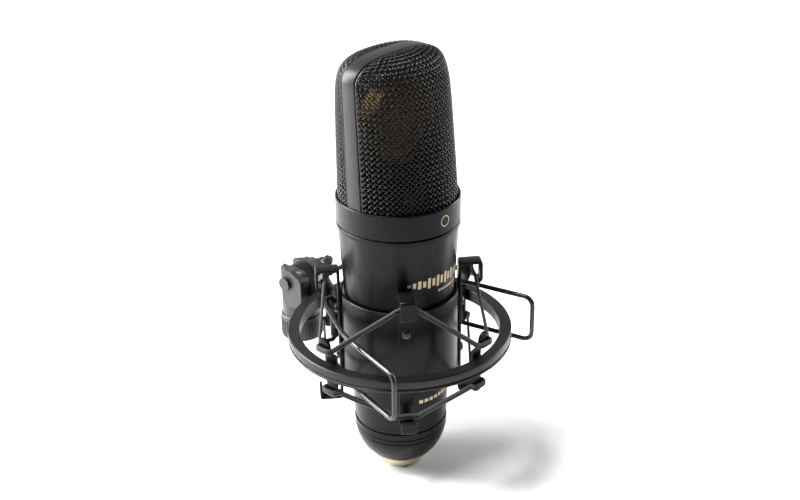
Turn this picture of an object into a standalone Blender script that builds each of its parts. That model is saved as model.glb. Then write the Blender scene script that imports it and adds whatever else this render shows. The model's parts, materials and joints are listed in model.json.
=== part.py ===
"""Side-address condenser microphone standing in its spider shock mount.

Design lengths are in millimetres and are turned into metres when a mesh is made.
The microphone's axis is vertical, its front faces -Y, and it stands on its connector.
Design positions are measured from the foot of that axis, and the root empty then
moves the whole assembly so that the origin is under the middle of its bounding box.
"""
import math

import bmesh
import bpy
from mathutils import Matrix, Vector

MM = 0.001
GAP = 0.3                 # clearance between touching pieces
ROUND = 48                # facets round the large turned pieces
FINE = 32                 # facets round the small turned pieces

# Microphone
XLR_RADIUS = 9.5
XLR_BORE = 8.1
XLR_REACH = 11.0          # length of the connector barrel
CAP_FLOOR = 3.8           # where the black end cap starts
CAP_TOP = 21.4
LOCK_TOP = 23.6
BODY_BOTTOM = 23.9
BODY_TOP = 109.3
BODY_FOOT_RADIUS = 18.8
BODY_WAIST = 40.0         # above this height the body widens as a cone
BODY_WAIST_RADIUS = 19.4
BODY_SHOULDER = 107.2
BODY_SHOULDER_RADIUS = 23.4
BODY_WALL = 1.4
COLLAR_RADIUS = 24.0
COLLAR_BOTTOM = 109.6
COLLAR_TOP = 119.8
COLLAR_SEAT = 111.5       # floor of the recess that the head sits in
SEAT_RADIUS = 23.55

# Head
HEAD_BOTTOM = 116.0
HEAD_RADIUS = 23.2
HEAD_HALF_WIDTH = 22.9    # half width between the band's legs at the top
HEAD_SHOULDER = 166.0     # height where the band leaves the vertical
HEAD_TOP = 175.4
HEAD_LEAN = 2.4           # how far the ridge lies behind the axis
BAND_WIDTH = 6.4
BAND_THICK = 1.0
BAND_PROUD = -0.45        # its middle lies just under the head's outline
GRILLE_THICK = 0.9

# Capsule
CAPSULE_HEIGHT = 149.0
CAPSULE_RADIUS = 16.5

# Shock mount
CRADLE_OUTER = 23.25
CRADLE_WALL = 0.85
CRADLE_BOTTOM = 43.3
CRADLE_TOP = 79.3
SLOT_HALF_ANGLE = 22.0    # half of the opening at the cradle's back, degrees
LUG_FEET = (53.0, 66.0)   # heights of the rolled lugs on each back edge
LUG_HEIGHT = 3.0
LUG_RADIUS = 2.3
BASKET_TURN = 4.5         # the straps sit slightly turned on the microphone, degrees
STRAP_ANGLES = {"front_left": -45.0, "front_right": 45.0, "rear_right": 135.0, "rear_left": -135.0}
STRAP_WIDTH = 6.0
STRAP_THICK = 1.1
STRAP_TOP = 88.6
STRAP_BOTTOM = 31.5
HOOK_REACH = 32.3
RIVET_HEIGHTS = {"upper": 71.2, "lower": 50.3}
RING_OUTER = 44.6
RING_INNER = 39.9
RING_BOTTOM = 57.6
RING_TOP = 62.5
RING_TURN = 2.0           # and so does the ring with its posts and stand adapter
POST_ANGLES = {"front": 0.0, "right": 90.0, "rear": 180.0, "left": -90.0}
POST_WIDTH = 5.0
POST_THICK = 1.6
CORD_RADIUS = 0.75
UPPER_CORD_HOOK = 84.0
UPPER_CORD_POST = 69.6
LOWER_CORD_HOOK = 37.4
LOWER_CORD_POST = 50.2
UPPER_WRAP = 43.7         # radius of the upper cord where it passes outside a post
LOWER_WRAP = 41.1
CORD_CHANNEL = 29.2

# Squeeze handles
WIRE_RADIUS = 1.0
WIRE_UPPER = 70.5
WIRE_LOWER = 51.2
HINGE_X, HINGE_Y = 11.8, 24.6
ELBOW_X, ELBOW_Y = 17.8, 26.2
KNEE_X, KNEE_Y = 32.0, -2.0
TIP_X, TIP_Y = 40.2, -35.3

# Stand adapter
ADAPTER_REACH = 56.0      # distance of its axis from the microphone's
PIVOT_HEIGHT = 64.8
SOCKET_RADIUS = 8.8
SOCKET_BORE = 6.6
SOCKET_BOTTOM = 38.0
SOCKET_TOP = 48.7
STEM_RADIUS = 8.1
CHEEK_BOTTOM = 54.0
CHEEK_TOP = 71.0
CHEEK_FRONT = 8.6         # how far the cheeks reach towards the ring
CHEEK_SIDE = 8.3
FORK_GAP = 3.2            # half of the slot between the fork's cheeks
TONGUE_HALF = 2.8

BACK_REACH = 66.0         # rearmost point: the tip of the knob's back wing
AXIS_Y = (RING_OUTER - BACK_REACH) / 2     # centres the overall depth on the origin

COLOURS = {
    "satin_black_metal": ((0.018, 0.018, 0.019), 0.38, 0.0),
    "black_mesh": ((0.022, 0.022, 0.022), 0.45, 0.6),
    "black_wire": ((0.02, 0.02, 0.02), 0.3, 0.0),
    "black_plastic": ((0.03, 0.03, 0.03), 0.5, 0.0),
    "black_elastic": ((0.03, 0.03, 0.032), 0.85, 0.0),
    "felt": ((0.02, 0.02, 0.02), 0.95, 0.0),
    "rubber": ((0.025, 0.025, 0.025), 0.8, 0.0),
    "pale_gold": ((0.83, 0.69, 0.42), 0.28, 1.0),
    "gold_film": ((0.90, 0.62, 0.22), 0.22, 1.0),
    "brass": ((0.72, 0.52, 0.22), 0.32, 1.0),
    "board_green": ((0.02, 0.14, 0.06), 0.5, 0.0),
    "steel": ((0.6, 0.6, 0.6), 0.3, 1.0),
}


# ---------------------------------------------------------------- helpers
def clear_scene():
    for obj in list(bpy.data.objects):
        bpy.data.objects.remove(obj, do_unlink=True)


def make_materials():
    materials = {}
    for name, (colour, roughness, metallic) in COLOURS.items():
        material = bpy.data.materials.new(name)
        material.use_nodes = True
        shader = material.node_tree.nodes["Principled BSDF"]
        shader.inputs["Base Color"].default_value = (*colour, 1.0)
        shader.inputs["Roughness"].default_value = roughness
        shader.inputs["Metallic"].default_value = metallic
        materials[name] = material
    return materials


def add_empty(name, position, parent=None):
    """An empty at a design position; its children's meshes are kept relative to it."""
    empty = bpy.data.objects.new(name, None)
    bpy.context.collection.objects.link(empty)
    empty["design"] = position
    base = Vector(parent["design"]) if parent else Vector((0, 0, 0))
    empty.location = (Vector(position) - base) * MM
    empty.parent = parent
    return empty


def add_piece(name, bm, material, parent, smooth=True):
    """Turn a bmesh in design millimetres into a named object under its parent empty."""
    bmesh.ops.recalc_face_normals(bm, faces=bm.faces)
    origin = Vector(parent["design"])
    for vertex in bm.verts:
        vertex.co = (vertex.co - origin) * MM
    mesh = bpy.data.meshes.new(name)
    bm.to_mesh(mesh)
    bm.free()
    mesh.materials.append(MATERIALS[material])
    if smooth:
        mesh.shade_smooth()
        mesh.set_sharp_from_angle(angle=math.radians(35))
    obj = bpy.data.objects.new(name, mesh)
    bpy.context.collection.objects.link(obj)
    obj.parent = parent
    return obj


def combine(obj, other, operation):
    """Join or cut obj with another solid, which is kept as a hidden operand."""
    other.hide_render = True
    other.display_type = "WIRE"
    modifier = obj.modifiers.new(operation.lower(), "BOOLEAN")
    modifier.operation = operation
    modifier.solver = "EXACT"
    modifier.object = other


def turned(profile, segments, start=0.0, sweep=360.0, centre=(0, 0)):
    """Spin a closed outline of (radius, height) points about a vertical line.

    Angles are in degrees from the front (-Y) towards +X. A part turn gets end caps.
    """
    bm = bmesh.new()
    full = abs(sweep - 360.0) < 1e-6
    columns = segments if full else segments + 1
    rings = []
    for i in range(columns):
        angle = math.radians(start + sweep * i / segments)
        ring = []
        for radius, height in profile:
            if radius == 0 and rings:
                ring.append(rings[0][len(ring)])
                continue
            x = centre[0] + radius * math.sin(angle)
            y = centre[1] - radius * math.cos(angle)
            ring.append(bm.verts.new((x, y, height)))
        rings.append(ring)
    count = len(profile)
    for i in range(segments):
        here, there = rings[i], rings[(i + 1) % columns]
        for j in range(count):
            k = (j + 1) % count
            corners = [here[j], here[k], there[k], there[j]]
            unique = list(dict.fromkeys(corners))
            if len(unique) > 2:
                bm.faces.new(unique)
    if not full:
        bm.faces.new(rings[0])
        bm.faces.new(list(reversed(rings[-1])))
    return bm


def swept(path, section, closed=False):
    """Carry an outline of (side, out) offsets along a path of 3-D points."""
    points = [Vector(p) for p in path]
    count = len(points)
    bm = bmesh.new()
    rings = []
    side = None
    for i, point in enumerate(points):
        before = points[i - 1] if (i or closed) else point
        after = points[(i + 1) % count] if (i < count - 1 or closed) else point
        tangent = (after - before).normalized()
        if side is None:
            reference = Vector((0, 0, 1)) if abs(tangent.z) < 0.9 else Vector((0, 1, 0))
            side = tangent.cross(reference).normalized()
        side = (side - tangent * side.dot(tangent)).normalized()
        out = tangent.cross(side)
        rings.append([bm.verts.new(point + side * a + out * b) for a, b in section])
    spans = count if closed else count - 1
    around = len(section)
    for i in range(spans):
        here, there = rings[i], rings[(i + 1) % count]
        for j in range(around):
            k = (j + 1) % around
            bm.faces.new((here[j], here[k], there[k], there[j]))
    if not closed:
        bm.faces.new(rings[0])
        bm.faces.new(list(reversed(rings[-1])))
    return bm


def circle(radius, sides):
    """Outline of a round wire."""
    return [(radius * math.cos(2 * math.pi * i / sides), radius * math.sin(2 * math.pi * i / sides))
            for i in range(sides)]


def extruded(outline, half_width, angle=0.0):
    """Extrude an outline of (radial, height) points sideways, facing a compass angle."""
    a = math.radians(angle)
    radial = Vector((math.sin(a), -math.cos(a), 0))
    across = Vector((math.cos(a), math.sin(a), 0))
    bm = bmesh.new()
    sides = []
    for sign in (-1, 1):
        sides.append([bm.verts.new(radial * r + across * sign * half_width + Vector((0, 0, z)))
                      for r, z in outline])
    bm.faces.new(sides[0])
    bm.faces.new(list(reversed(sides[1])))
    for j in range(len(outline)):
        k = (j + 1) % len(outline)
        bm.faces.new((sides[0][j], sides[0][k], sides[1][k], sides[1][j]))
    return bm


def box(x, y, z):
    """Axis-aligned block from (low, high) pairs."""
    outline = [(-y[0], z[0]), (-y[1], z[0]), (-y[1], z[1]), (-y[0], z[1])]
    bm = extruded(outline, (x[1] - x[0]) / 2)
    bmesh.ops.translate(bm, verts=bm.verts, vec=((x[0] + x[1]) / 2, 0, 0))
    bmesh.ops.recalc_face_normals(bm, faces=bm.faces)
    return bm


def cross_cylinder(radius, x, y, z, sides):
    """A cylinder lying along X from x[0] to x[1]."""
    bm = bmesh.new()
    ends = []
    for along in x:
        ends.append([bm.verts.new((along, y + a, z + b)) for a, b in circle(radius, sides)])
    bm.faces.new(ends[0])
    bm.faces.new(list(reversed(ends[1])))
    for j in range(sides):
        k = (j + 1) % sides
        bm.faces.new((ends[0][j], ends[0][k], ends[1][k], ends[1][j]))
    return bm


def turn(bm):
    """Turn a piece of the ring about the microphone's axis to where the ring sits."""
    matrix = Matrix.Rotation(math.radians(RING_TURN), 3, "Z")
    bmesh.ops.rotate(bm, verts=bm.verts, cent=(0, 0, 0), matrix=matrix)
    return bm


def ribbon(points, thickness, shift=0.0):
    """Outline of a bent strip along (radial, height) points, its middle shifted to the left."""
    left, right = [], []
    for i, (r, z) in enumerate(points):
        r0, z0 = points[max(i - 1, 0)]
        r1, z1 = points[min(i + 1, len(points) - 1)]
        length = math.hypot(r1 - r0, z1 - z0)
        nr, nz = -(z1 - z0) / length, (r1 - r0) / length
        near, far = shift + thickness / 2, shift - thickness / 2
        left.append((r + nr * near, z + nz * near))
        right.append((r + nr * far, z + nz * far))
    return left + right[::-1]


def fillet(points, radius, steps=4):
    """Round the inner corners of an open polyline of (x, y) points with arcs."""
    out = [points[0]]
    for before, corner, after in zip(points, points[1:], points[2:]):
        a = (Vector(before) - Vector(corner)).normalized()
        b = (Vector(after) - Vector(corner)).normalized()
        half = math.acos(max(-1.0, min(1.0, a.dot(b)))) / 2
        reach = radius / math.tan(half)
        centre = Vector(corner) + (a + b).normalized() * radius / math.sin(half)
        first = Vector(corner) + a * reach - centre
        last = Vector(corner) + b * reach - centre
        for i in range(steps + 1):
            t = i / steps
            arm = (first * (1 - t) + last * t).normalized() * radius
            out.append(tuple(centre + arm))
    out.append(points[-1])
    return out


# ---------------------------------------------------------------- microphone
def body_radius(z):
    """Outer radius of the tapered body."""
    if z < BODY_WAIST:
        t = (z - BODY_BOTTOM) / (BODY_WAIST - BODY_BOTTOM)
        return BODY_FOOT_RADIUS + t * (BODY_WAIST_RADIUS - BODY_FOOT_RADIUS)
    t = (z - BODY_WAIST) / (BODY_SHOULDER - BODY_WAIST)
    return BODY_WAIST_RADIUS + t * (BODY_SHOULDER_RADIUS - BODY_WAIST_RADIUS)


def connector(parent):
    barrel = [(XLR_BORE, 0), (XLR_RADIUS - 0.3, 0), (XLR_RADIUS, 0.3), (XLR_RADIUS, XLR_REACH),
              (XLR_BORE, XLR_REACH)]
    add_piece("xlr_barrel", turned(barrel, FINE), "pale_gold", parent)
    block = [(0, 8.8), (XLR_BORE - GAP, 8.8), (XLR_BORE - GAP, 12.4), (0, 12.4)]
    add_piece("xlr_insert", turned(block, FINE), "black_plastic", parent)
    for number, degrees in enumerate((110.0, 250.0, 0.0), start=1):
        angle = math.radians(degrees)
        spot = (4.5 * math.sin(angle), -4.5 * math.cos(angle))
        pin = [(0, 0.9), (0.6, 0.9), (1.15, 1.6), (1.15, 8.5), (0, 8.5)]
        add_piece(f"xlr_pin_{number}", turned(pin, 12, centre=spot), "pale_gold", parent)


def end_cap(parent):
    """Black lower housing: rounded foot, two pairs of fine grooves and the joint above them."""
    outer = [(10.7, CAP_FLOOR), (13.2, 5.7), (15.4, 8.4), (17.1, 11.6), (18.1, 14.6), (18.45, 16.4),
             (18.1, 16.5), (18.1, 16.9), (18.7, 17.0), (18.75, 18.4), (18.4, 18.5), (18.4, 18.9),
             (18.8, 19.0), (18.8, CAP_TOP)]
    inner = [(16.4, CAP_TOP), (15.6, 15.0), (XLR_RADIUS + GAP, 7.6), (XLR_RADIUS + GAP, CAP_FLOOR)]
    add_piece("end_cap", turned(outer + inner, ROUND), "satin_black_metal", parent)
    lock = [(15.2, CAP_TOP + GAP), (18.4, CAP_TOP + GAP), (18.4, LOCK_TOP), (15.2, LOCK_TOP)]
    add_piece("lock_ring", turned(lock, ROUND), "satin_black_metal", parent)


def body(parent):
    levels = (BODY_BOTTOM, BODY_WAIST, 73.0, BODY_SHOULDER)
    outer = [(body_radius(z), z) for z in levels]
    lip = [(COLLAR_RADIUS - 0.2, BODY_SHOULDER + 0.1), (COLLAR_RADIUS, BODY_SHOULDER + 0.4),
           (COLLAR_RADIUS, BODY_TOP - 0.3), (COLLAR_RADIUS - 0.3, BODY_TOP)]
    inner = [(r - BODY_WALL, z) for r, z in reversed(outer)]
    shell = outer + lip + [(inner[0][0], BODY_TOP)] + inner
    add_piece("body_tube", turned(shell, ROUND), "satin_black_metal", parent)
    collar = [(21.0, COLLAR_BOTTOM), (COLLAR_RADIUS - 0.3, COLLAR_BOTTOM),
              (COLLAR_RADIUS, COLLAR_BOTTOM + 0.3), (COLLAR_RADIUS, COLLAR_TOP - 0.4),
              (COLLAR_RADIUS - 0.3, COLLAR_TOP), (SEAT_RADIUS, COLLAR_TOP),
              (SEAT_RADIUS, COLLAR_SEAT), (21.0, COLLAR_SEAT)]
    add_piece("collar", turned(collar, ROUND), "satin_black_metal", parent)


def inside_body(parent):
    """Chassis rails, circuit board and the parts on it."""
    for side, name in ((-1, "left"), (1, "right")):
        low, high = sorted((side * 12.4, side * 15.4))
        rail = box((low, high), (-3.0, 3.0), (BODY_BOTTOM + 0.4, 107.0))
        add_piece(f"chassis_rail_{name}", rail, "steel", parent, smooth=False)
    board = box((-12.0, 12.0), (-0.8, 0.8), (30.0, 104.0))
    add_piece("circuit_board", board, "board_green", parent, smooth=False)
    transformer = box((-8.0, 8.0), (-12.0, -0.8 - GAP), (36.0, 52.0))
    add_piece("output_transformer", transformer, "steel", parent, smooth=False)
    for name, x, height, radius in (("coupling_capacitor", -5.0, 22.0, 3.6),
                                    ("filter_capacitor", 5.0, 14.0, 3.2)):
        can = [(0, 62), (radius - 0.4, 62), (radius, 62.5), (radius, 62 + height), (0, 62 + height)]
        spot = (x, -0.8 - GAP - radius)
        add_piece(name, turned(can, 20, centre=spot), "black_plastic", parent)


def head_lean(z):
    """How far the head has drifted back at a height."""
    return HEAD_LEAN * (z - HEAD_BOTTOM) / (HEAD_TOP - HEAD_BOTTOM)


def ridge_height(x):
    """Height of the band's arch above a point x from the middle."""
    t = min(1.0, abs(x) / HEAD_HALF_WIDTH)
    return HEAD_SHOULDER + (HEAD_TOP - HEAD_SHOULDER) * (1 - t ** 2.8) ** (1 / 2.8)


def head_point(t, h, face, inset=0.0):
    """Point on a grille face: t from 0 to 1 across it, h from its foot to the ridge."""
    edge = BAND_WIDTH / 2 + GAP
    taper = 1 - 0.2 * h ** 1.2
    depth = edge + (HEAD_RADIUS * taper - edge) * math.sqrt(max(0.0, 1 - h ** 12))
    foot_width = math.sqrt(HEAD_RADIUS ** 2 - edge ** 2)
    width = foot_width + (HEAD_HALF_WIDTH - foot_width) * h - inset
    x = -width * math.cos(math.pi * t)
    bulge = max(0.0, math.sin(math.pi * t)) ** 1.25
    y = edge + max(0.0, depth - edge - inset) * bulge
    top = ridge_height(x * HEAD_HALF_WIDTH / (HEAD_HALF_WIDTH - inset)) - inset
    z = HEAD_BOTTOM + (top - HEAD_BOTTOM) * h
    return Vector((x, face * y + head_lean(z), z))


def grille(name, face, parent):
    """One half of the head, as a thin domed shell."""
    across, up = 18, 11
    bm = bmesh.new()
    layers = []
    for inset in (0.0, GRILLE_THICK):
        rows = []
        for j in range(up + 1):
            h = 1 - (1 - j / up) ** 1.6
            rows.append([bm.verts.new(head_point(i / across, h, face, inset)) for i in range(across + 1)])
        layers.append(rows)
    outer, inner = layers
    for j in range(up):
        for i in range(across):
            for rows in layers:
                quad = (rows[j][i], rows[j][i + 1], rows[j + 1][i + 1], rows[j + 1][i])
                bm.faces.new(quad)
    border = [(0, i) for i in range(across)] + [(j, across) for j in range(up)]
    border += [(up, i) for i in range(across, 0, -1)] + [(j, 0) for j in range(up, 0, -1)]
    for here, there in zip(border, border[1:] + border[:1]):
        a, b = outer[here[0]][here[1]], outer[there[0]][there[1]]
        c, d = inner[there[0]][there[1]], inner[here[0]][here[1]]
        bm.faces.new((a, b, c, d))
    add_piece(name, bm, "black_mesh", parent)


def head(parent):
    """Band over the top with its two legs, and the hoop that the head stands on."""
    legs = 8
    arch = 26
    path = []
    for i in range(legs):
        h = i / legs
        z = HEAD_BOTTOM + (HEAD_SHOULDER - HEAD_BOTTOM) * h
        path.append((-(HEAD_RADIUS + (HEAD_HALF_WIDTH - HEAD_RADIUS) * h), z))
    for i in range(arch + 1):
        angle = math.pi * i / arch
        x = -HEAD_HALF_WIDTH * math.copysign(abs(math.cos(angle)) ** (2 / 2.8), math.cos(angle))
        path.append((x, ridge_height(x)))
    path += [(-x, z) for x, z in reversed(path[:legs])]
    outline = ribbon(path, BAND_THICK, BAND_PROUD)
    bm = bmesh.new()
    sides = []
    for sign in (-1, 1):
        row = []
        for x, z in outline:
            row.append(bm.verts.new((x, sign * BAND_WIDTH / 2 + head_lean(z), z)))
        sides.append(row)
    count = len(outline)
    half = count // 2
    for j in range(count):
        k = (j + 1) % count
        bm.faces.new((sides[0][j], sides[0][k], sides[1][k], sides[1][j]))
    for j in range(half - 1):
        for row in sides:
            bm.faces.new((row[j], row[j + 1], row[count - 2 - j], row[count - 1 - j]))
    add_piece("head_band", bm, "satin_black_metal", parent)
    hoop = [(21.6, COLLAR_SEAT + GAP), (SEAT_RADIUS - GAP, COLLAR_SEAT + GAP),
            (SEAT_RADIUS - GAP, HEAD_BOTTOM - 0.5 - GAP), (21.6, HEAD_BOTTOM - 0.5 - GAP)]
    add_piece("head_hoop", turned(hoop, ROUND), "satin_black_metal", parent)
    grille("grille_front", -1, parent)
    grille("grille_back", 1, parent)


def disc(radius, y, sides=FINE, bore=0.0):
    """A plate facing the front, centred on the capsule."""
    profile = [(bore, y[0]), (radius, y[0]), (radius, y[1]), (bore, y[1])]
    bm = turned(profile, sides)
    for vertex in bm.verts:
        x, depth, along = vertex.co
        vertex.co = (x, along, CAPSULE_HEIGHT + depth)
    return bm


def capsule(parent):
    """Large two-sided capsule on its saddle, above the deck that closes the body."""
    deck = [(0, 110.0), (20.6, 110.0), (20.6, 112.6), (0, 112.6)]
    add_piece("capsule_deck", turned(deck, FINE), "black_plastic", parent)
    saddle = [(-17.9, CAPSULE_HEIGHT - 15), (-17.9, 112.6 + GAP), (17.9, 112.6 + GAP),
              (17.9, CAPSULE_HEIGHT - 15)]
    cradle = []
    for i in range(13):
        angle = math.radians(-62 + 124 * i / 12)
        reach = CAPSULE_RADIUS + GAP
        cradle.append((reach * math.sin(angle), CAPSULE_HEIGHT - reach * math.cos(angle)))
    outline = saddle + cradle[::-1]
    bm = bmesh.new()
    rows = [[bm.verts.new((x, y, z)) for x, z in outline] for y in (-3.0, 3.0)]
    bm.faces.new(rows[0])
    bm.faces.new(list(reversed(rows[1])))
    for j in range(len(outline)):
        k = (j + 1) % len(outline)
        bm.faces.new((rows[0][j], rows[0][k], rows[1][k], rows[1][j]))
    add_piece("capsule_saddle", bm, "black_plastic", parent, smooth=False)
    add_piece("capsule_backplate", disc(14.6, (-2.6, 2.6)), "brass", parent)
    for name, side in (("front", -1), ("back", 1)):
        film = sorted((side * 2.8, side * 3.1))
        add_piece(f"diaphragm_{name}", disc(13.6, film), "gold_film", parent)
        clamp = sorted((side * 0.15, side * 4.0))
        ring = disc(CAPSULE_RADIUS, clamp, bore=14.9)
        add_piece(f"capsule_ring_{name}", ring, "pale_gold", parent)


# ---------------------------------------------------------------- shock mount
def cradle(parent):
    """Spring-steel sleeve, open at the back, with the rolled lugs that carry the handles."""
    inner = CRADLE_OUTER - CRADLE_WALL
    wall = [(inner, CRADLE_BOTTOM), (CRADLE_OUTER, CRADLE_BOTTOM), (CRADLE_OUTER, CRADLE_TOP - 0.3),
            (CRADLE_OUTER - 0.3, CRADLE_TOP), (inner + 0.2, CRADLE_TOP), (inner, CRADLE_TOP - 0.2)]
    sweep = 360 - 2 * SLOT_HALF_ANGLE
    bm = turned(wall, 44, start=180 + SLOT_HALF_ANGLE, sweep=sweep)
    sleeve = add_piece("cradle_sleeve", bm, "satin_black_metal", parent)
    bore = WIRE_RADIUS + GAP
    for side, name in ((-1, "left"), (1, "right")):
        centre = (side * HINGE_X, HINGE_Y)
        angle = math.degrees(math.atan2(side * HINGE_X, -HINGE_Y))
        for low in LUG_FEET:
            tab = [(CRADLE_OUTER - 0.5, low), (math.hypot(*centre) - bore - 0.4, low),
                   (math.hypot(*centre) - bore - 0.4, low + LUG_HEIGHT), (CRADLE_OUTER - 0.5, low + LUG_HEIGHT)]
            web = add_piece(f"lug_web_{name}_{low:.0f}", extruded(tab, 1.2, angle),
                            "satin_black_metal", parent)
            combine(sleeve, web, "UNION")
            hollow = [(bore, low), (LUG_RADIUS, low), (LUG_RADIUS, low + LUG_HEIGHT), (bore, low + LUG_HEIGHT)]
            lug = add_piece(f"lug_roll_{name}_{low:.0f}", turned(hollow, 16, centre=centre),
                            "satin_black_metal", parent)
            combine(sleeve, lug, "UNION")
    levels = (46.0, 56.0, 68.0)
    lining = [(inner - GAP, 46.0), (inner - GAP, 68.0)]
    lining += [(body_radius(z) + GAP, z) for z in reversed(levels)]
    felt = turned(lining, 32, start=180 + SLOT_HALF_ANGLE + 2, sweep=sweep - 4)
    add_piece("felt_lining", felt, "felt", parent)


def straps(parent):
    """Four hooked plates riveted to the sleeve, which the elastic hangs in."""
    inner = CRADLE_OUTER + 0.1 + STRAP_THICK / 2
    line = [(HOOK_REACH - 1.6, STRAP_TOP - 8.6), (HOOK_REACH, STRAP_TOP - 7.4), (HOOK_REACH, STRAP_TOP),
            (inner, STRAP_TOP), (inner, STRAP_BOTTOM), (HOOK_REACH, STRAP_BOTTOM),
            (HOOK_REACH, 36.6)]
    rounded = fillet(line, 1.3, 3)
    for name, place in STRAP_ANGLES.items():
        angle = place + BASKET_TURN
        plate = extruded(ribbon(rounded, STRAP_THICK), STRAP_WIDTH / 2, angle)
        add_piece(f"hook_strap_{name}", plate, "satin_black_metal", parent)
        a = math.radians(angle)
        face = inner + STRAP_THICK / 2 + 0.05
        for level, z in RIVET_HEIGHTS.items():
            dome = [(0, 0), (2.0, 0), (1.8, 0.7), (1.1, 1.15), (0, 1.3)]
            bm = turned(dome, 14)
            for vertex in bm.verts:
                x, y, out = vertex.co
                radial = face + out
                vertex.co = (radial * math.sin(a) + x * math.cos(a),
                             -radial * math.cos(a) + x * math.sin(a), z + y)
            add_piece(f"rivet_{name}_{level}", bm, "black_wire", parent)


def handle(side, parent):
    """Closed wire loop: hinge leg, two long arms past the sleeve and the upright finger grip."""
    corner = 3.6
    plan = [(HINGE_X, HINGE_Y), (ELBOW_X, ELBOW_Y), (KNEE_X, KNEE_Y), (TIP_X, TIP_Y)]
    stations = []
    for i, (start, end) in enumerate(zip(plan, plan[1:])):
        a, b = Vector(start), Vector(end)
        length = (b - a).length
        trim_a = 1.6 if i == 0 else min(3.0, length / 3)
        trim_b = corner if i == 2 else min(3.0, length / 3)
        stations += [a.lerp(b, trim_a / length), a.lerp(b, 1 - trim_b / length)]
    tip = Vector(plan[-1])
    top = [Vector((p.x, p.y, WIRE_UPPER)) for p in stations]
    grip = []
    last = stations[-1]
    for i in range(1, 4):
        t = math.radians(90 * i / 4)
        grip.append(Vector((*last.lerp(tip, math.sin(t)), WIRE_UPPER - corner * (1 - math.cos(t)))))
    grip.append(Vector((*tip, WIRE_UPPER - corner)))
    lower = [Vector((p.x, p.y, WIRE_UPPER + WIRE_LOWER - p.z)) for p in reversed(grip)]
    bottom = [Vector((p.x, p.y, WIRE_LOWER)) for p in reversed(stations)]
    leg_x, leg_y = plan[0]
    leg = [Vector((leg_x, leg_y, z)) for z in (WIRE_LOWER + 1.3, WIRE_UPPER - 1.3)]
    path = [Vector((side * p.x, p.y, p.z)) for p in top + grip + lower + bottom + leg]
    name = "handle_wire_" + ("left" if side < 0 else "right")
    add_piece(name, swept(path, circle(WIRE_RADIUS, 8), closed=True), "black_wire", parent)


def clamp_jaw(side, parent):
    """Knuckle on the handle's hinge leg, with a plate that reaches in through the slot."""
    name = "left" if side < 0 else "right"
    bore = WIRE_RADIUS + 0.15
    centre = (side * HINGE_X, HINGE_Y)
    knuckle = [(bore, 56.4), (2.3, 56.4), (2.3, 65.6), (bore, 65.6)]
    jaw = add_piece(f"clamp_jaw_{name}", turned(knuckle, 16, centre=centre), "satin_black_metal", parent)
    low, high = sorted((side * 3.0, side * (HINGE_X - 1.6)))
    plate = add_piece(f"jaw_plate_{name}", box((low, high), (23.6, 25.0), (57.0, 65.0)),
                      "satin_black_metal", parent, smooth=False)
    combine(jaw, plate, "UNION")
    low, high = sorted((side * 3.2, side * 6.4))
    pad = box((low, high), (20.95, 23.6 - GAP), (57.4, 64.6))
    add_piece(f"clamp_pad_{name}", pad, "rubber", parent, smooth=False)


def ring(parent):
    """Outer ring with a foot lip, and the tongue that carries the stand adapter."""
    profile = [(RING_INNER, RING_BOTTOM), (RING_OUTER - 0.3, RING_BOTTOM), (RING_OUTER, RING_BOTTOM + 0.3),
               (RING_OUTER, RING_BOTTOM + 1.0), (RING_OUTER - 0.5, RING_BOTTOM + 1.2),
               (RING_OUTER - 0.5, RING_BOTTOM + 1.6), (RING_OUTER - 0.1, RING_BOTTOM + 1.8),
               (RING_OUTER, RING_TOP - 0.4), (RING_OUTER - 0.4, RING_TOP), (RING_INNER + 0.3, RING_TOP),
               (RING_INNER, RING_TOP - 0.3)]
    hoop = add_piece("outer_ring", turned(profile, 64), "satin_black_metal", parent)
    line = [(RING_OUTER - 1.4, RING_BOTTOM + 0.6)]
    for i in range(11):
        angle = math.radians(-90 + 21 * i)
        line.append((ADAPTER_REACH + 6.2 * math.cos(angle), PIVOT_HEIGHT + 6.2 * math.sin(angle)))
    line.append((RING_OUTER - 1.4, RING_TOP - 0.4))
    tongue = add_piece("ring_tongue", extruded(line, TONGUE_HALF, 180 + RING_TURN),
                       "satin_black_metal", parent)
    combine(hoop, tongue, "UNION")
    hole = turn(cross_cylinder(2.8, (-6, 6), ADAPTER_REACH, PIVOT_HEIGHT, 20))
    combine(hoop, add_piece("tongue_bore", hole, "satin_black_metal", parent), "DIFFERENCE")


def posts(parent):
    """Four upright plates inside the ring; their bent ends hold the elastic."""
    middle = RING_INNER - 0.45 - POST_THICK / 2
    line = [(middle + 0.9, 47.4), (middle + 0.6, 50.2), (middle, 53.0), (middle, 64.8),
            (middle + 3.0, 68.2), (middle + 4.0, 74.2)]
    rounded = fillet(line, 1.8, 2)
    for name, place in POST_ANGLES.items():
        plate = extruded(ribbon(rounded, POST_THICK), POST_WIDTH / 2, place + RING_TURN)
        add_piece(f"ring_post_{name}", plate, "satin_black_metal", parent)


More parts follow.
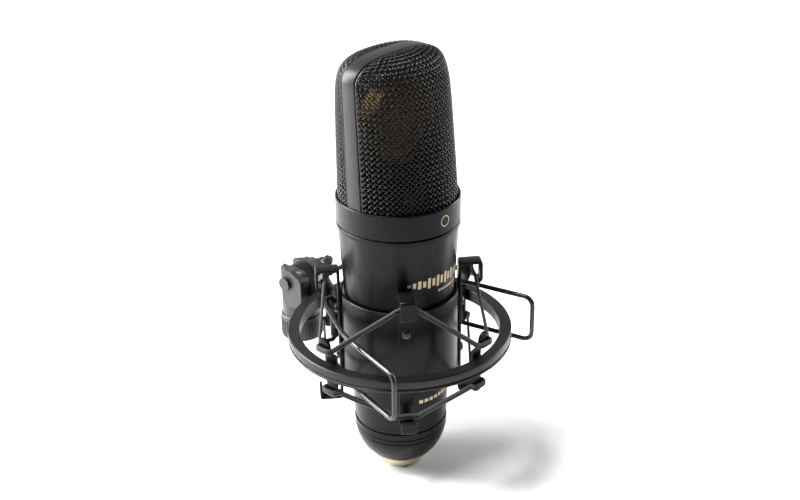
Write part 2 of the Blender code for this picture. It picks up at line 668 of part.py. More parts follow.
def elastic(name, hook_height, post_height, wrap, parent):
    """One closed loop of elastic, zigzagging between the straps and the ring's posts."""
    path = []
    across = POST_WIDTH / 2 + CORD_RADIUS + 0.4
    order = ("front", "front_right", "right", "rear_right", "rear", "rear_left", "left", "front_left")
    for stop in order:
        if stop in POST_ANGLES:
            angle = math.radians(POST_ANGLES[stop] + RING_TURN)
            offsets = ((-across, wrap - 2.2), (-across + 0.9, wrap), (across - 0.9, wrap),
                       (across, wrap - 2.2))
            height = post_height
        else:
            angle = math.radians(STRAP_ANGLES[stop] + BASKET_TURN)
            offsets = ((-3.6, CORD_CHANNEL + 0.3), (0, CORD_CHANNEL), (3.6, CORD_CHANNEL + 0.3))
            height = hook_height
        radial = Vector((math.sin(angle), -math.cos(angle), 0))
        tangent = Vector((math.cos(angle), math.sin(angle), 0))
        for aside, reach in offsets:
            path.append(radial * reach + tangent * aside + Vector((0, 0, height)))
    add_piece(name, swept(path, circle(CORD_RADIUS, 6), closed=True), "black_elastic", parent)


def adapter(swivel, knob):
    """Stand socket with its forked top, the pivot bolt and the wing knob."""
    y, z = ADAPTER_REACH, PIVOT_HEIGHT
    socket = [(SOCKET_BORE, SOCKET_BOTTOM), (SOCKET_RADIUS - 0.4, SOCKET_BOTTOM),
              (SOCKET_RADIUS, SOCKET_BOTTOM + 0.4), (SOCKET_RADIUS, SOCKET_TOP - 0.4),
              (SOCKET_RADIUS - 0.4, SOCKET_TOP), (STEM_RADIUS, SOCKET_TOP), (STEM_RADIUS, CHEEK_TOP - 1.6),
              (STEM_RADIUS - 1.2, CHEEK_TOP - 0.4), (0, CHEEK_TOP - 0.4), (0, 52.0), (SOCKET_BORE, 52.0)]
    block = add_piece("stand_adapter", turn(turned(socket, FINE, centre=(0, y))), "black_plastic", swivel)
    front, back = -(y - CHEEK_FRONT), -(y + 2.4)
    line = [(back, CHEEK_BOTTOM + 2), (back + 2, CHEEK_BOTTOM), (front - 2, CHEEK_BOTTOM + 1),
            (front, CHEEK_BOTTOM + 4), (front, CHEEK_TOP - 3.6), (front - 1.6, CHEEK_TOP - 2),
            (back + 5, CHEEK_TOP), (back + 1.5, CHEEK_TOP), (back, CHEEK_TOP - 1.5)]
    cheeks = turn(extruded(line, CHEEK_SIDE))
    combine(block, add_piece("fork_cheeks", cheeks, "black_plastic", swivel), "UNION")
    slot = turn(box((-FORK_GAP, FORK_GAP), (y - 14, y + 14), (57.2, 80.0)))
    combine(block, add_piece("fork_slot", slot, "black_plastic", swivel), "DIFFERENCE")
    hole = turn(cross_cylinder(2.6, (-14, 14), y, z, 20))
    combine(block, add_piece("fork_bore", hole, "black_plastic", swivel), "DIFFERENCE")
    shank = turn(cross_cylinder(2.2, (-CHEEK_SIDE - 0.4, CHEEK_SIDE + 4.6), y, z, 20))
    bolt = add_piece("pivot_bolt", shank, "steel", swivel)
    cap = turn(cross_cylinder(2.9, (-CHEEK_SIDE - 1.5, -CHEEK_SIDE - GAP), y, z, 20))
    combine(bolt, add_piece("bolt_head", cap, "steel", swivel), "UNION")
    bush = [(4.9, SOCKET_BOTTOM + 0.6), (SOCKET_BORE - GAP, SOCKET_BOTTOM + 0.6),
            (SOCKET_BORE - GAP, 51.0), (4.9, 51.0)]
    add_piece("thread_bush", turn(turned(bush, FINE, centre=(0, y))), "brass", swivel)

    near = CHEEK_SIDE + GAP
    hub = add_piece("wing_knob", turn(cross_cylinder(3.9, (near, near + 6.0), y, z, 20)),
                    "black_plastic", knob)
    for name, lean in (("wing_back", 2.0), ("wing_front", 137.0)):
        wing = box((near + 0.8, near + 4.8), (y + 1.5, y + 9.6), (z - 2.1, z + 2.1))
        bmesh.ops.bevel(wing, geom=wing.edges, offset=1.0, segments=2, affect="EDGES")
        tilt = Matrix.Rotation(math.radians(lean), 3, "X")
        bmesh.ops.rotate(wing, verts=wing.verts, cent=(0, y, z), matrix=tilt)
        combine(hub, add_piece(name, turn(wing), "black_plastic", knob), "UNION")
    hole = turn(cross_cylinder(2.5, (8, near + 4.6), y, z, 16))
    combine(hub, add_piece("knob_bore", hole, "black_plastic", knob), "DIFFERENCE")


# ---------------------------------------------------------------- assembly
clear_scene()
MATERIALS = make_materials()

world = add_empty("assembly", (0, -AXIS_Y, 0))
world.location = (0, 0, 0)
microphone = add_empty("microphone_axis", (0, 0, 0), world)
clamp = add_empty("cradle_slide_axis", (0, 0, 0), microphone)
suspension = add_empty("suspension_axis", (0, 0, 0), clamp)
pivot = Matrix.Rotation(math.radians(RING_TURN), 3, "Z") @ Vector((0, ADAPTER_REACH, PIVOT_HEIGHT))
swivel = add_empty("swivel_axis", tuple(pivot), suspension)
knob = add_empty("knob_axis", tuple(pivot), swivel)

connector(microphone)
end_cap(microphone)
body(microphone)
inside_body(microphone)
head(microphone)
capsule(microphone)

cradle(clamp)
straps(clamp)
for side in (-1, 1):
    label = "left" if side < 0 else "right"
    hinge = add_empty(f"handle_hinge_{label}", (side * HINGE_X, HINGE_Y, 0), clamp)
    handle(side, hinge)
    clamp_jaw(side, hinge)

ring(suspension)
posts(suspension)
elastic("elastic_upper", UPPER_CORD_HOOK, UPPER_CORD_POST, UPPER_WRAP, suspension)
elastic("elastic_lower", LOWER_CORD_HOOK, LOWER_CORD_POST, LOWER_WRAP, suspension)
adapter(swivel, knob)
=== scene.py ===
"""Looks of the side-address condenser microphone standing in its spider shock mount.

Lengths are millimetres measured from the foot of the microphone's upright axis, with
its front facing -Y. put() turns them into the frame's metres. Materials use metres.
"""
import json
import math

import bmesh
import bpy
import numpy as np
from mathutils import Matrix, Vector

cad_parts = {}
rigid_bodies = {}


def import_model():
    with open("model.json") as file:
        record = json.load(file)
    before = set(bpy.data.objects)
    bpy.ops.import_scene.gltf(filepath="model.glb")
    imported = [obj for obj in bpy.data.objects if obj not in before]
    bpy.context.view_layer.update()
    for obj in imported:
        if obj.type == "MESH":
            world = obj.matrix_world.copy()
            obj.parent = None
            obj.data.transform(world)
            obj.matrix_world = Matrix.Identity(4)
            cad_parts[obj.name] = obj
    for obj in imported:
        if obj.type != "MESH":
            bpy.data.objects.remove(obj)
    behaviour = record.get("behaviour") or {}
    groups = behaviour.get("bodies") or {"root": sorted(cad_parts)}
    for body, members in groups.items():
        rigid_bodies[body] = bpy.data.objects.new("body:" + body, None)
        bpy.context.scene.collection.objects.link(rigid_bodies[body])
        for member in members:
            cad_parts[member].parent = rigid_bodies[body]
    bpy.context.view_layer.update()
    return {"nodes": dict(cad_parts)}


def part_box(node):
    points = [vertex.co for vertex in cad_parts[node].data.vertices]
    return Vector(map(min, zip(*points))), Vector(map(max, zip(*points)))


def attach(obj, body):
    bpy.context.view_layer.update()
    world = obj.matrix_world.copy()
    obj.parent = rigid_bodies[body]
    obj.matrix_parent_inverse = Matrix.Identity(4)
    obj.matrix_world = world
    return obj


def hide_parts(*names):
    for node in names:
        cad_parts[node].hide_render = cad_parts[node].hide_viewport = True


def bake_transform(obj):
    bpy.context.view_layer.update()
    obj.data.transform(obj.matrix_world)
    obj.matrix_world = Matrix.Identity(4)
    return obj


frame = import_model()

MM = 0.001
_low, _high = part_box("body_tube")
AXIS = Vector(((_low.x + _high.x) / 2, (_low.y + _high.y) / 2, 0))

# Head outline, as the grille and its band follow it
HEAD_BOTTOM, HEAD_SHOULDER, HEAD_TOP = 116.0, 166.0, 175.4
HEAD_RADIUS, HEAD_HALF_WIDTH, HEAD_LEAN = 23.2, 22.9, 2.4
RIDGE_POWER = 2.8         # squareness of the head's shoulders, seen from the front
BAND_WIDTH, BAND_THICK, BAND_ROUNDING = 6.4, 1.0, 0.32
BAND_SINK = 0.45          # the band's middle lies this far inside the outline
GAP = 0.3                 # between the band and a grille face
WIRE_PITCH = 1.5          # distance between neighbouring wires of the grille
WIRE_THIN = 0.29          # radius of a grille wire
WIRE_DEPTH = 0.45         # the weave's middle lies this far inside the outline
BEAD_THIN = 0.5           # radius of the bead that the wires end in
LINER_DEPTH = 1.5         # the gauze lies this far inside the outline

# Shock mount
HOOKS = {"front_left": -40.5, "front_right": 49.5, "rear_right": 139.5, "rear_left": -130.5}
RING_TURN = 2.0           # degrees that the ring stands round from the microphone's front
POSTS = {"front": RING_TURN, "right": RING_TURN + 90, "rear": RING_TURN + 180,
         "left": RING_TURN - 90}
POST_WIDTH = 5.0
CORD_THIN = 0.56          # radius of one strand of the doubled elastic
CORD_APART = 0.60         # half of the distance between the two strands
CORD_PITCH = 0.0011       # metres along the cord for one turn of its braid

WELD = 2e-6               # metres; vertices of a CAD mesh closer than this are one
FLAT = 0.6                # degrees; neighbouring CAD faces flatter than this are merged


# ---------------------------------------------------------------- materials
def new_material(name):
    material = bpy.data.materials.new(name)
    material.use_nodes = True
    tree = material.node_tree
    return material, tree.nodes, tree.links, tree.nodes["Principled BSDF"]


def mix_colours(nodes, links, factor, dark, light):
    mix = nodes.new("ShaderNodeMix")
    mix.data_type = "RGBA"
    mix.inputs["A"].default_value = (*dark, 1)
    mix.inputs["B"].default_value = (*light, 1)
    links.new(factor, mix.inputs["Factor"])
    return mix.outputs["Result"]


def noise(nodes, links, scale, detail=3.0, stretch=None):
    coordinates = nodes.new("ShaderNodeTexCoord").outputs["Object"]
    if stretch:
        mapping = nodes.new("ShaderNodeMapping")
        mapping.inputs["Scale"].default_value = stretch
        links.new(coordinates, mapping.inputs["Vector"])
        coordinates = mapping.outputs["Vector"]
    texture = nodes.new("ShaderNodeTexNoise")
    texture.inputs["Scale"].default_value = scale
    texture.inputs["Detail"].default_value = detail
    links.new(coordinates, texture.inputs["Vector"])
    return texture.outputs["Fac"]


def ranged(nodes, links, value, low, high):
    node = nodes.new("ShaderNodeMapRange")
    node.inputs["From Min"].default_value = 0.3
    node.inputs["From Max"].default_value = 0.7
    node.inputs["To Min"].default_value = low
    node.inputs["To Max"].default_value = high
    links.new(value, node.inputs["Value"])
    return node.outputs["Result"]


def bump(nodes, links, shader, height, depth):
    node = nodes.new("ShaderNodeBump")
    node.inputs["Strength"].default_value = 1.0
    node.inputs["Distance"].default_value = depth
    links.new(height, node.inputs["Height"])
    links.new(node.outputs["Normal"], shader.inputs["Normal"])


def coated(name, colour, roughness, metallic=0.0, tone=0.2, spread=0.05, grain=2600.0,
           relief=4e-6, specular=0.5, stretch=None, coat=0.0):
    """Paint, plastic or metal with soft cloudy tone, uneven gloss and a fine grain."""
    material, nodes, links, shader = new_material(name)
    cloud = ranged(nodes, links, noise(nodes, links, 85.0, 5.0), 0.0, 1.0)
    dark = [c * (1 - tone) for c in colour]
    light = [min(1.0, c * (1 + tone)) for c in colour]
    links.new(mix_colours(nodes, links, cloud, dark, light), shader.inputs["Base Color"])
    fine = noise(nodes, links, grain, 3.0, stretch)
    links.new(ranged(nodes, links, fine, roughness - spread, roughness + spread),
              shader.inputs["Roughness"])
    shader.inputs["Metallic"].default_value = metallic
    shader.inputs["Specular IOR Level"].default_value = specular
    shader.inputs["Coat Weight"].default_value = coat
    bump(nodes, links, shader, fine, relief)
    return material


def braided(name):
    """Woven jacket of a round elastic, laid out on the cord's own length and girth."""
    material, nodes, links, shader = new_material(name)
    uv = nodes.new("ShaderNodeUVMap")
    uv.uv_map = "cord"
    split = nodes.new("ShaderNodeSeparateXYZ")
    links.new(uv.outputs["UV"], split.inputs["Vector"])

    def maths(operation, a, b=None):
        node = nodes.new("ShaderNodeMath")
        node.operation = operation
        for slot, value in enumerate((a, b)):
            if value is None:
                continue
            if isinstance(value, float):
                node.inputs[slot].default_value = value
            else:
                links.new(value, node.inputs[slot])
        return node.outputs["Value"]

    around = maths("MULTIPLY", split.outputs["X"], 4 * 2 * math.pi)
    along = maths("MULTIPLY", split.outputs["Y"], 2 * math.pi / CORD_PITCH)
    one = maths("SINE", maths("ADD", along, around))
    other = maths("SINE", maths("SUBTRACT", along, around))
    weave = maths("MAXIMUM", one, other)
    level = maths("MULTIPLY", maths("ADD", weave, 1.0), 0.5)
    fuzz = noise(nodes, links, 5200.0, 2.0)
    height = maths("ADD", level, maths("MULTIPLY", fuzz, 0.35))
    # Painted shade: the colour darkens from 0.042 to 0.006 towards the weave's grooves, following
    # the same level that the bump lowers.
    links.new(mix_colours(nodes, links, level, (0.006, 0.006, 0.007), (0.042, 0.042, 0.045)),
              shader.inputs["Base Color"])
    links.new(ranged(nodes, links, fuzz, 0.62, 0.82), shader.inputs["Roughness"])
    shader.inputs["Specular IOR Level"].default_value = 0.4
    shader.inputs["Sheen Weight"].default_value = 0.15
    bump(nodes, links, shader, height, 9e-5)
    return material


def gauze(name):
    """Fine dark inner screen that the capsule is dimly seen through."""
    material, nodes, links, shader = new_material(name)
    fine = noise(nodes, links, 1500.0, 2.0)
    links.new(mix_colours(nodes, links, fine, (0.002, 0.002, 0.002), (0.010, 0.010, 0.010)),
              shader.inputs["Base Color"])
    shader.inputs["Roughness"].default_value = 0.85
    shader.inputs["Specular IOR Level"].default_value = 0.1
    shader.inputs["Alpha"].default_value = 0.8
    return material


SATIN = coated("satin_black_paint", (0.0042, 0.0039, 0.0042), 0.31, specular=0.15)
RING_PAINT = coated("ring_black_paint", (0.0058, 0.0056, 0.0055), 0.36, specular=0.26,
                    relief=7e-6)
SLEEVE_PAINT = coated("sleeve_black_paint", (0.0040, 0.0038, 0.0040), 0.3, specular=0.15)
BAND_PAINT = coated("band_grey_black_paint", (0.0080, 0.0076, 0.0084), 0.36, specular=0.32)
GRILLE_PAINT = coated("grille_black_enamel", (0.0025, 0.0025, 0.0025), 0.2, relief=2e-6,
                      specular=0.4)
WIRE_PAINT = coated("gloss_black_wire", (0.012, 0.012, 0.0125), 0.2, specular=0.5, spread=0.04)
PLASTIC = coated("moulded_black_plastic", (0.02, 0.02, 0.021), 0.42, grain=1500.0, relief=1.2e-5)
GOLD = coated("pale_gold_plate", (0.72, 0.63, 0.45), 0.27, 1.0, tone=0.08, grain=900.0,
              relief=2e-6, stretch=(1, 1, 6))
CAPSULE_GOLD = coated("capsule_gold", (0.86, 0.58, 0.24), 0.26, 1.0, tone=0.08)
FILM = coated("gold_sputtered_film", (0.92, 0.64, 0.24), 0.2, 1.0, tone=0.06)
BRASS = coated("turned_brass", (0.66, 0.48, 0.2), 0.3, 1.0, tone=0.1, stretch=(1, 1, 9))
STEEL = coated("zinc_plated_steel", (0.45, 0.45, 0.46), 0.32, 1.0, tone=0.12)
BOLT_STEEL = coated("blackened_steel", (0.075, 0.075, 0.08), 0.45, 1.0, tone=0.12)
FELT = coated("black_felt", (0.012, 0.012, 0.012), 0.95, grain=900.0, relief=1.5e-4, specular=0.1)
RUBBER = coated("black_rubber", (0.02, 0.02, 0.02), 0.75, relief=1e-5, specular=0.25)
BOARD = coated("green_solder_mask", (0.01, 0.11, 0.045), 0.35, tone=0.3, grain=700.0, coat=0.2)
PRINT = coated("pale_gold_print", (0.50, 0.41, 0.26), 0.42, 0.5, tone=0.1, relief=1e-6)
ELASTIC = braided("braided_black_elastic")
GAUZE = gauze("fine_black_gauze")


# ---------------------------------------------------------------- pieces
def put(bm):
    """Design millimetres to the frame's metres."""
    for vertex in bm.verts:
        vertex.co = vertex.co * MM + AXIS


def piece(name, mesh, body, material, nodes=(), slot=None, bevel=0.0, angle=32):
    """Show a mesh on a body, standing for CAD nodes, smooth with softly rounded edges."""
    mesh.materials.clear()
    mesh.materials.append(material)
    mesh.shade_smooth()
    mesh.set_sharp_from_angle(angle=math.radians(angle))
    obj = bpy.data.objects.new(name, mesh)
    bpy.context.collection.objects.link(obj)
    if bevel:
        rounding = obj.modifiers.new("rounding", "BEVEL")
        rounding.width = bevel * MM
        rounding.segments = 2
        rounding.limit_method = "ANGLE"
        rounding.angle_limit = math.radians(angle)
        rounding.harden_normals = True
        rounding.use_clamp_overlap = True
    if body:
        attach(obj, body)
    if nodes:
        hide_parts(*nodes)
    return obj


def from_bmesh(name, bm, *args, **kwargs):
    bmesh.ops.recalc_face_normals(bm, faces=bm.faces)
    put(bm)
    mesh = bpy.data.meshes.new(name)
    bm.to_mesh(mesh)
    bm.free()
    return piece(name, mesh, *args, **kwargs)


BODY_OF = {n: o.parent.name.split(":")[-1] for n, o in frame["nodes"].items()}


def refine(node, material, slot, bevel=0.15, angle=32):
    """A welded, smooth, edge-rounded copy stands for a CAD node of the right shape."""
    bm = bmesh.new()
    bm.from_mesh(frame["nodes"][node].data)
    bmesh.ops.remove_doubles(bm, verts=bm.verts, dist=WELD)
    bmesh.ops.dissolve_limit(bm, angle_limit=math.radians(FLAT), verts=bm.verts,
                             edges=bm.edges)
    mesh = bpy.data.meshes.new(node + "_fine")
    bm.to_mesh(mesh)
    bm.free()
    return piece(node + "_fine", mesh, BODY_OF[node], material, [node], slot, bevel, angle)


def tubes(name, paths, radius, sides, closed=False):
    """One mesh of round wires: paths is a list of (points, normals) arrays in millimetres."""
    turns = 2 * math.pi * np.arange(sides) / sides
    verts, faces, uvs = [], [], []
    base = 0
    for points, normals in paths:
        points = np.asarray(points, float)
        count = len(points)
        if closed:
            tangent = np.roll(points, -1, 0) - np.roll(points, 1, 0)
        else:
            tangent = np.gradient(points, axis=0)
        tangent /= np.linalg.norm(tangent, axis=1)[:, None]
        out = normals - tangent * np.sum(normals * tangent, 1)[:, None]
        out /= np.linalg.norm(out, axis=1)[:, None]
        side = np.cross(tangent, out)
        ring = (points[:, None, :] + radius * (np.cos(turns)[None, :, None] * out[:, None, :]
                                               + np.sin(turns)[None, :, None] * side[:, None, :]))
        verts.append(ring.reshape(-1, 3))
        steps = np.linalg.norm(np.diff(points, axis=0), axis=1)
        along = np.concatenate([[0], np.cumsum(steps)]) * MM
        total = along[-1] + np.linalg.norm(points[0] - points[-1]) * MM
        spans = count if closed else count - 1
        for i in range(spans):
            j = (i + 1) % count
            v0, v1 = along[i], (total if j == 0 else along[j])
            for k in range(sides):
                m = (k + 1) % sides
                faces.append((base + i * sides + k, base + i * sides + m,
                              base + j * sides + m, base + j * sides + k))
                u0, u1 = k / sides, (k + 1) / sides
                uvs += [(u0, v0), (u1, v0), (u1, v1), (u0, v1)]
        if not closed:
            for end, order in ((0, range(sides - 1, -1, -1)), (count - 1, range(sides))):
                faces.append(tuple(base + end * sides + k for k in order))
                uvs += [(k / sides, along[end]) for k in order]
        base += count * sides
    mesh = bpy.data.meshes.new(name)
    mesh.from_pydata((np.concatenate(verts) * MM + np.array(AXIS)).tolist(), [], faces)
    layer = mesh.uv_layers.new(name="cord")
    layer.data.foreach_set("uv", np.array(uvs, np.float32).ravel())
    mesh.validate()
    return mesh


# ---------------------------------------------------------------- head
def head_lean(z):
    """The head leans back a little towards its top."""
    return HEAD_LEAN * (z - HEAD_BOTTOM) / (HEAD_TOP - HEAD_BOTTOM)


def ridge_height(x):
    """Height of the head's outline, a squared arch over its shoulders."""
    t = np.minimum(1.0, np.abs(x) / HEAD_HALF_WIDTH)
    return HEAD_SHOULDER + (HEAD_TOP - HEAD_SHOULDER) * (1 - t ** RIDGE_POWER) ** (1 / RIDGE_POWER)


def head_points(t, h, face, inset):
    """Points of a grille face: t runs across it from 0 to 1 and h from its foot to the ridge."""
    edge = BAND_WIDTH / 2 + GAP
    taper = 1 - 0.2 * h ** 1.2
    depth = edge + (HEAD_RADIUS * taper - edge) * np.sqrt(np.maximum(0.0, 1 - h ** 12))
    foot = math.sqrt(HEAD_RADIUS ** 2 - edge ** 2)
    width = foot + (HEAD_HALF_WIDTH - foot) * h - inset
    x = -width * np.cos(math.pi * t)
    bulge = np.maximum(0.0, np.sin(math.pi * t)) ** 1.25
    y = edge + np.maximum(0.0, depth - edge - inset) * bulge
    top = ridge_height(x * HEAD_HALF_WIDTH / (HEAD_HALF_WIDTH - inset)) - inset
    z = HEAD_BOTTOM + (top - HEAD_BOTTOM) * h
    return np.stack([x, face * y + head_lean(z), z], -1)


class Cloth:
    """Flat coordinates (a across, b up, both in millimetres) on a grille face."""

    def __init__(self, face, inset):
        self.face, self.inset = face, inset
        self.t = np.linspace(0, 1, 161)
        self.h = 1 - (1 - np.linspace(0, 1, 220)) ** 2.6
        grid = head_points(self.t[:, None], self.h[None, :], face, inset)
        rise = np.linalg.norm(np.diff(grid, axis=1), axis=2)
        self.up = np.concatenate([np.zeros((len(self.t), 1)), np.cumsum(rise, 1)], 1)
        row = np.linalg.norm(np.diff(grid[:, 60], axis=0), axis=1)
        across = np.concatenate([[0], np.cumsum(row)])
        self.a = across - across[-1] / 2
        self.length = self.up[:, -1]

    def inside(self, a, b):
        t = np.interp(a, self.a, self.t)
        return (np.abs(a) <= self.a[-1]) & (b >= 0) & (b <= np.interp(t, self.t, self.length))

    def locate(self, a, b):
        t = np.interp(a, self.a, self.t)
        spot = np.clip(t * (len(self.t) - 1), 0, len(self.t) - 1.001)
        index = spot.astype(int)
        part = spot - index
        h = np.empty_like(t)
        for i, (k, f) in enumerate(zip(index, part)):
            low = np.interp(b[i], self.up[k], self.h)
            high = np.interp(b[i], self.up[k + 1], self.h)
            h[i] = low * (1 - f) + high * f
        return t, h

    def place(self, a, b, lift):
        """Points and outward normals at flat coordinates, raised by lift."""
        t, h = self.locate(a, b)
        dt, dh = 2e-3, 2e-3
        t0, t1 = np.clip(t - dt, 0.002, 0.998), np.clip(t + dt, 0.002, 0.998)
        h0, h1 = np.clip(h - dh, 0, 1), np.clip(h + dh, 0, 1)
        middle = np.clip(t, 0.004, 0.996)
        across = (head_points(np.maximum(t1, middle), h, self.face, self.inset)
                  - head_points(np.minimum(t0, middle), h, self.face, self.inset))
        up = (head_points(middle, h1, self.face, self.inset)
              - head_points(middle, h0, self.face, self.inset))
        normal = np.cross(across, up) * -self.face
        length = np.linalg.norm(normal, axis=1)
        normal[length < 1e-12] = (0, self.face, 0)
        normal /= np.linalg.norm(normal, axis=1)[:, None]
        points = head_points(t, h, self.face, self.inset)
        return points + normal * np.asarray(lift)[:, None], normal


def weave_paths(cloth):
    """Both families of bias wires, each passing over and under the other in turn."""
    d, amplitude = WIRE_PITCH, WIRE_THIN
    per = 3
    reach = int(110 / d)
    root = math.sqrt(0.5)
    paths = []
    for family in (0, 1):
        for k in range(-reach, reach + 1):
            s = np.arange(-reach * per, reach * per + 1) * (d / per)
            fixed = np.full_like(s, k * d)
            p, q = (s, fixed) if family == 0 else (fixed, s)
            wave = np.cos(math.pi * s / d) * (-1) ** k * (1 if family == 0 else -1)
            a, b = (p - q) * root, (p + q) * root
            ok = cloth.inside(a, b)
            edges = np.flatnonzero(np.diff(np.concatenate([[0], ok.astype(int), [0]])))
            for first, last in zip(edges[::2], edges[1::2]):
                if last - first < 2:
                    continue
                run_a, run_b = list(a[first:last]), list(b[first:last])
                run_w = list(wave[first:last])
                for end, step in ((first, -1), (last - 1, 1)):
                    near, far = 0.0, 1.0
                    if not 0 <= end + step < len(s):
                        continue
                    for _ in range(7):
                        mid = (near + far) / 2
                        pa = a[end] + (a[end + step] - a[end]) * mid
                        pb = b[end] + (b[end + step] - b[end]) * mid
                        if cloth.inside(np.array(pa), np.array(pb)):
                            near = mid
                        else:
                            far = mid
                    if near < 0.15:
                        continue
                    for run, values in ((run_a, a), (run_b, b), (run_w, wave)):
                        last_bit = values[end] + (values[end + step] - values[end]) * near
                        run.insert(0 if step < 0 else len(run), last_bit)
                lift = np.array(run_w) * amplitude
                paths.append(cloth.place(np.array(run_a), np.array(run_b), lift))
    return paths


def grille(name, face):
    """Woven bias mesh of one face, with the bead that its wires end in."""
    cloth = Cloth(face, WIRE_DEPTH)
    mesh = tubes(name, weave_paths(cloth), WIRE_THIN, 6)
    piece(name, mesh, "microphone", GRILLE_PAINT, [f"grille_{name.split('_')[1]}"],
          "black_mesh", angle=80)
    t = np.concatenate([np.zeros(60), np.linspace(0, 1, 90), np.ones(60)])
    h = np.concatenate([np.linspace(0.04, 1, 60), np.ones(90), np.linspace(1, 0.04, 60)])
    border = head_points(t, h, face, WIRE_DEPTH + 0.1)
    keep = np.concatenate([[True], np.linalg.norm(np.diff(border, axis=0), axis=1) > 0.05])
    border = border[keep] + np.array([0, face * 0.32, 0])
    normals = np.tile(np.array([0.0, float(face), 0.0]), (len(border), 1))
    bead_name = name.replace("mesh", "bead")
    bead = tubes(bead_name, [(border, normals)], BEAD_THIN, 10)
    piece(bead_name, bead, "microphone", GRILLE_PAINT, slot="black_mesh", angle=60)


def liner(name, face):
    """Fine gauze behind the mesh."""
    t = np.linspace(0, 1, 61)
    h = 1 - (1 - np.linspace(0, 1, 40)) ** 1.8
    points = head_points(t[:, None], h[None, :], face, LINER_DEPTH)
    bm = bmesh.new()
    rows = [[bm.verts.new(p) for p in row] for row in points]
    for i in range(len(t) - 1):
        for j in range(len(h) - 1):
            bm.faces.new((rows[i][j], rows[i + 1][j], rows[i + 1][j + 1], rows[i][j + 1]))
    bmesh.ops.remove_doubles(bm, verts=bm.verts, dist=1e-4)
    from_bmesh(name, bm, "microphone", GAUZE, slot="black_mesh", angle=80)


def band():
    """Flat strap over the head with rounded edges."""
    path = []
    leg, arch = 14, 80
    for i in range(leg):
        h = i / leg
        path.append((-(HEAD_RADIUS + (HEAD_HALF_WIDTH - HEAD_RADIUS) * h),
                     HEAD_BOTTOM + (HEAD_SHOULDER - HEAD_BOTTOM) * h))
    for i in range(arch + 1):
        c = math.cos(math.pi * i / arch)
        x = -HEAD_HALF_WIDTH * math.copysign(abs(c) ** (2 / RIDGE_POWER), c)
        path.append((x, float(ridge_height(np.array(x)))))
    path += [(-x, z) for x, z in reversed(path[:leg])]
    half, thick, round_off = BAND_WIDTH / 2, BAND_THICK, BAND_ROUNDING
    section = []
    for cx, cz, start in ((half, thick / 2, 0), (-half, thick / 2, 90), (-half, -thick / 2, 180),
                          (half, -thick / 2, 270)):
        for step in (0, 30, 60, 90):
            turn = math.radians(start + step)
            section.append((cx - math.copysign(round_off, cx) + round_off * math.cos(turn),
                            cz - math.copysign(round_off, cz) + round_off * math.sin(turn)))
    bm = bmesh.new()
    rings = []
    for i, (x, z) in enumerate(path):
        x0, z0 = path[max(i - 1, 0)]
        x1, z1 = path[min(i + 1, len(path) - 1)]
        length = math.hypot(x1 - x0, z1 - z0)
        nx, nz = -(z1 - z0) / length, (x1 - x0) / length
        ring = []
        for aside, out in section:
            height = z + nz * (out - BAND_SINK)
            ring.append(bm.verts.new((x + nx * (out - BAND_SINK), aside + head_lean(height),
                                      height)))
        rings.append(ring)
    for here, there in zip(rings, rings[1:]):
        for j in range(len(section)):
            k = (j + 1) % len(section)
            bm.faces.new((here[j], here[k], there[k], there[j]))
    bm.faces.new(rings[0])
    bm.faces.new(list(reversed(rings[-1])))
    from_bmesh("head_band_fine", bm, "microphone", BAND_PAINT, ["head_band"], "satin_black_metal",
               angle=50)


# ---------------------------------------------------------------- elastics
def smooth_loop(points, steps=5):
    """Closed Catmull-Rom curve, with guards that keep its long runs straight."""
    guarded = []
    count = len(points)
    for i in range(count):
        a, b = points[i], points[(i + 1) % count]
        guarded.append(a)
        if np.linalg.norm(b - a) > 8:
            guarded += [a + (b - a) * f for f in (0.1, 0.37, 0.63, 0.9)]
    out = []
    count = len(guarded)
    for i in range(count):
        p0, p1, p2, p3 = (guarded[(i + k) % count] for k in (-1, 0, 1, 2))
        for j in range(steps):
            t = j / steps
            out.append(0.5 * (2 * p1 + (p2 - p0) * t + (2 * p0 - 5 * p1 + 4 * p2 - p3) * t * t
                              + (3 * p1 - p0 - 3 * p2 + p3) * t ** 3))
    return np.array(out)


def elastic(name, node, hook_height, post_height, wrap):
    """Two strands side by side, zigzagging between the hooks and the ring's posts."""
    across = POST_WIDTH / 2 + 0.95
    order = ("front", "front_right", "right", "rear_right",
             "rear", "rear_left", "left", "front_left")
    strands = []
    for shift in (-CORD_APART, CORD_APART):
        path = []
        for stop in order:
            if stop in POSTS:
                angle, height = math.radians(POSTS[stop]), post_height
                offsets = ((-across, wrap - 1.9), (-across + 0.9, wrap), (across - 0.9, wrap),
                           (across, wrap - 1.9))
            else:
                angle, height = math.radians(HOOKS[stop]), hook_height
                offsets = ((-3.6, 29.5), (0, 29.2), (3.6, 29.5))
            radial = np.array([math.sin(angle), -math.cos(angle), 0])
            tangent = np.array([math.cos(angle), math.sin(angle), 0])
            for aside, reach in offsets:
                path.append(radial * reach + tangent * aside + np.array([0, 0, height + shift]))
        curve = smooth_loop([np.array(p) for p in path])
        strands.append((curve, np.tile([0.0, 0.0, 1.0], (len(curve), 1))))
    mesh = tubes(name, strands, CORD_THIN, 10, closed=True)
    cord = piece(name, mesh, None, ELASTIC, slot="black_elastic", angle=80)
    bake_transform(cord)
    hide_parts(node)


